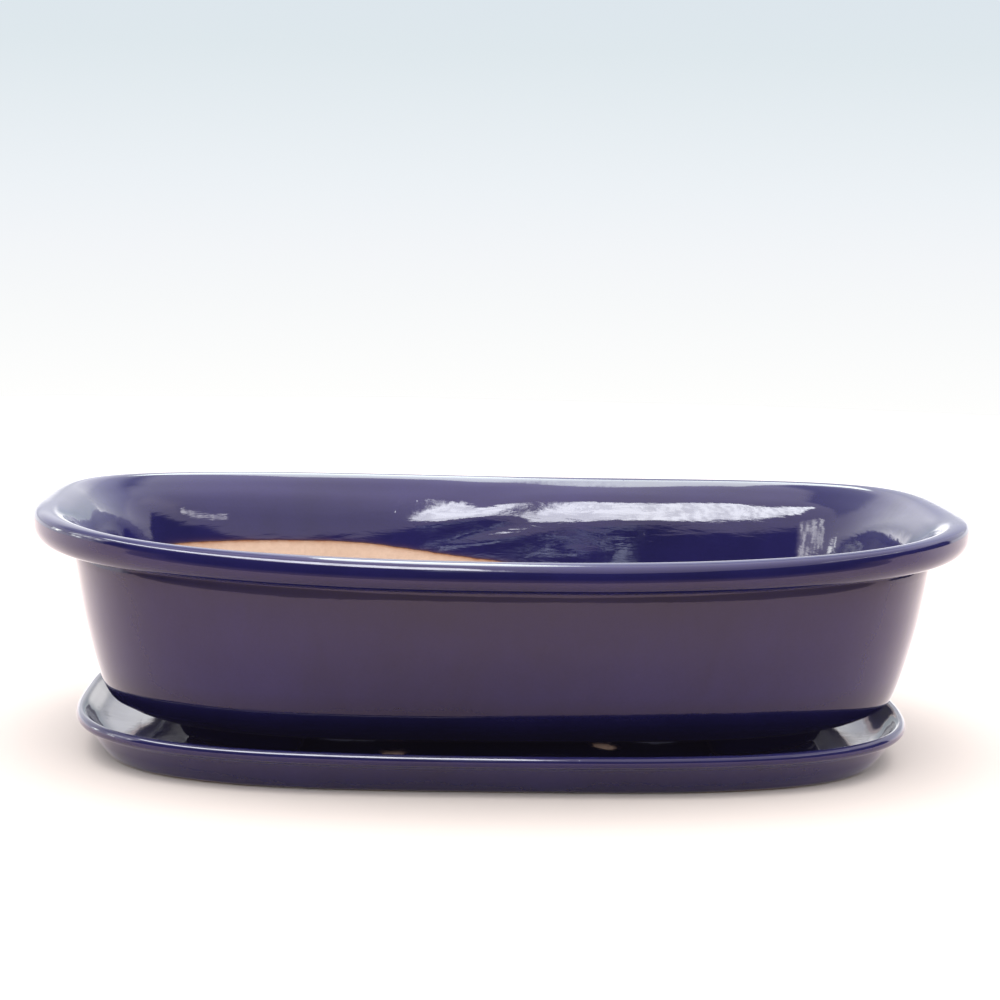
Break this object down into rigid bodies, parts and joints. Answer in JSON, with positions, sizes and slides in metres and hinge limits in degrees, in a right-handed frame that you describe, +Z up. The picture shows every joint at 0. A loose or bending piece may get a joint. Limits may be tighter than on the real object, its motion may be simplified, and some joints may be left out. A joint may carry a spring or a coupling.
{
  "type": "bonsai pot",
  "caption": "Shallow oval glazed bonsai pot with a rolled outward lip, corner feet and drainage holes, standing in its matching low drip tray.",
  "frame": {"origin": "on the surface the tray stands on, under the middle of the pot's lip", "axes": "+X along the long side of the pot to the right, -Y towards the front long side, +Z up"},
  "size_m": [0.368, 0.274, 0.0943],
  "materials": {
    "pot_glaze": "dark cobalt blue gloss glaze",
    "tray_glaze": "dark cobalt blue gloss glaze",
    "bare_clay": "unglazed fired terracotta, matt"
  },
  "bodies": {
    "tray": {"tray": "tray_glaze"},
    "pot": {"pot_body": "pot_glaze", "pot_foot_front_left": "pot_glaze", "pot_foot_front_right": "pot_glaze", "pot_foot_back_left": "pot_glaze", "pot_foot_back_right": "pot_glaze"}
  },
  "joints": [
    {"name": "pot_lift", "type": "slide", "parent": "tray", "child": "pot", "axis": [0, 0, 1], "range_m": [0, 0.15]}
  ]
}
